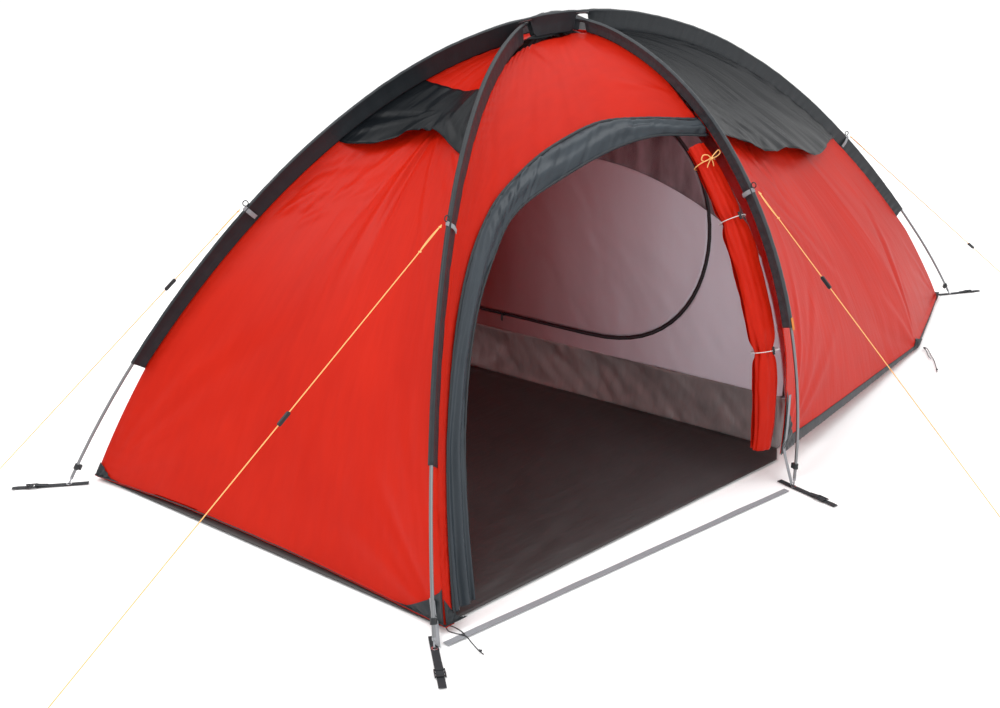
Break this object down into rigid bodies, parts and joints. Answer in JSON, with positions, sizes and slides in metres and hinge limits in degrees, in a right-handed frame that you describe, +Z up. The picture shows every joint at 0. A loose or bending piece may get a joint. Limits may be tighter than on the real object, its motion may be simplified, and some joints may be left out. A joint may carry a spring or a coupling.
{
  "type": "three-pole dome tent",
  "caption": "Red three-pole trekking tent with dark pole sleeves, vent hoods, an open arched side door, a sleeping room behind a vestibule, foot straps and guy lines.",
  "frame": {"origin": "on the ground, midway between the two feet of the hoop pole", "axes": "+Y runs from the vestibule to the foot end, +X is the side with the open door, +Z is up"},
  "size_m": [2.7941, 4.7418, 1.3664],
  "materials": {
    "pole_metal": "satin anodised",
    "insert_metal": "satin",
    "elastic_white": "matt braid",
    "clip_plastic": "matt",
    "fly_red": "satin woven",
    "trim_dark": "satin woven",
    "flap_slate": "satin woven",
    "floor_brown": "coated, satin",
    "tub_brown": "coated, satin",
    "room_pale": "satin woven",
    "mesh_dark": "sheer mesh",
    "zip_dark": "matt coil",
    "slider_metal": "black lacquer",
    "webbing_grey": "woven webbing",
    "webbing_dark": "woven webbing",
    "grommet_metal": "nickel",
    "line_orange": "braided cord",
    "cord_dark": "braided cord"
  },
  "bodies": {
    "tent": {"pole_left_front": "pole_metal", "pole_right_front": "pole_metal", "pole_hoop": "pole_metal", "pole_inserts": "insert_metal", "shock_cords": "elastic_white", "pole_tips": "pole_metal", "pole_clips": "clip_plastic", "sleeve_left_front": "trim_dark", "sleeve_right_front": "trim_dark", "sleeve_hoop": "trim_dark", "fly_front": "fly_red", "fly_front_peak": "fly_red", "fly_door_side": "fly_red", "fly_closed_side": "fly_red", "fly_side_right": "fly_red", "fly_side_left": "fly_red", "fly_caps": "trim_dark", "fly_rear": "fly_red", "hood_front": "trim_dark", "hoods_side": "trim_dark", "hem_tapes": "trim_dark", "corner_patches": "trim_dark", "door_flap": "flap_slate", "door_roll": "fly_red", "door_zip": "zip_dark", "toggle_ties": "cord_dark", "ground_sheet": "floor_brown", "bathtub": "tub_brown", "room_front_wall": "room_pale", "room_front_mesh": "mesh_dark", "room_side_right": "room_pale", "room_side_left": "room_pale", "room_roof": "room_pale", "room_zip": "zip_dark", "door_threshold": "webbing_grey", "foot_straps": "webbing_dark", "foot_grommets": "grommet_metal", "guy_rings": "clip_plastic", "guy_front_left": "line_orange", "guy_front_right": "line_orange", "guy_side_right": "line_orange", "guy_rear_right": "line_orange", "peg_loop_front": "cord_dark", "peg_loop_side": "cord_dark"},
    "toggle_upper": {"toggle_upper": "clip_plastic"},
    "toggle_lower": {"toggle_lower": "clip_plastic"},
    "room_door": {"room_door": "room_pale", "room_door_mesh": "mesh_dark"},
    "zip_slider": {"zip_slider": "slider_metal"},
    "zip_puller": {"zip_puller": "slider_metal"},
    "strap_front_left": {"strap_front_left": "clip_plastic"},
    "strap_front_right": {"strap_front_right": "clip_plastic"},
    "strap_hoop_right": {"strap_hoop_right": "clip_plastic"},
    "strap_hoop_left": {"strap_hoop_left": "clip_plastic"},
    "strap_rear_right": {"strap_rear_right": "clip_plastic"},
    "strap_rear_left": {"strap_rear_left": "clip_plastic"},
    "tensioner_front_left": {"tensioner_front_left": "clip_plastic"},
    "tensioner_front_right": {"tensioner_front_right": "clip_plastic"},
    "tensioner_side_right": {"tensioner_side_right": "clip_plastic"},
    "tensioner_rear_right": {"tensioner_rear_right": "clip_plastic"}
  },
  "joints": [
    {"name": "slide_tensioner_front_left", "type": "slide", "parent": "tent", "child": "tensioner_front_left", "axis": [-0.3545, -0.6314, -0.6897], "range_m": [-0.1, 0.15]},
    {"name": "slide_tensioner_front_right", "type": "slide", "parent": "tent", "child": "tensioner_front_right", "axis": [-0.0364, -0.8224, -0.5677], "range_m": [-0.1, 0.15]},
    {"name": "slide_tensioner_side_right", "type": "slide", "parent": "tent", "child": "tensioner_side_right", "axis": [0.7172, -0.0349, -0.696], "range_m": [-0.1, 0.15]},
    {"name": "slide_tensioner_rear_right", "type": "slide", "parent": "tent", "child": "tensioner_rear_right", "axis": [0.3042, 0.7603, -0.574], "range_m": [-0.1, 0.15]},
    {"name": "room_door_hinge", "type": "hinge", "parent": "tent", "child": "room_door", "pos_m": [-0.48075, 0.24, 0.5], "axis": [0, 0, -1], "range_deg": [0, 60]},
    {"name": "zip_slide", "type": "slide", "parent": "tent", "child": "zip_slider", "axis": [1, 0, 0], "range_m": [0, 0.36]},
    {"name": "zip_puller_hinge", "type": "hinge", "parent": "zip_slider", "child": "zip_puller", "pos_m": [-0.35, 0.2355, 0.242], "axis": [-1, 0, 0], "range_deg": [0, 80]},
    {"name": "hinge_strap_front_left", "type": "hinge", "parent": "tent", "child": "strap_front_left", "pos_m": [-0.81171, -1.45354, 0.004], "axis": [-0.766, 0.6428, 0], "range_deg": [0, 60]},
    {"name": "hinge_strap_front_right", "type": "hinge", "parent": "tent", "child": "strap_front_right", "pos_m": [0.82134, -1.44424, 0.004], "axis": [-0.6691, -0.7431, 0], "range_deg": [0, 60]},
    {"name": "hinge_strap_hoop_right", "type": "hinge", "parent": "tent", "child": "strap_hoop_right", "pos_m": [1.07228, -0.02646, 0.004], "axis": [-0.2756, -0.9613, 0], "range_deg": [0, 60]},
    {"name": "hinge_strap_hoop_left", "type": "hinge", "parent": "tent", "child": "strap_hoop_left", "pos_m": [-1.07228, -0.02646, 0.004], "axis": [-0.2756, 0.9613, 0], "range_deg": [0, 60]},
    {"name": "hinge_strap_rear_right", "type": "hinge", "parent": "tent", "child": "strap_rear_right", "pos_m": [0.59228, 2.49051, 0.004], "axis": [0.8387, -0.5446, 0], "range_deg": [0, 60]},
    {"name": "hinge_strap_rear_left", "type": "hinge", "parent": "tent", "child": "strap_rear_left", "pos_m": [-0.59228, 2.49051, 0.004], "axis": [0.8387, 0.5446, 0], "range_deg": [0, 60]},
    {"name": "hinge_toggle_upper", "type": "hinge", "parent": "tent", "child": "toggle_upper", "pos_m": [0.72591, 0.03026, 0.80227], "axis": [0.2776, 0.9572, 0.0815], "range_deg": [-40, 40]},
    {"name": "hinge_toggle_lower", "type": "hinge", "parent": "tent", "child": "toggle_lower", "pos_m": [0.88419, -0.00417, 0.41887], "axis": [0.3132, 0.9497, -0.0059], "range_deg": [-40, 40]}
  ]
}
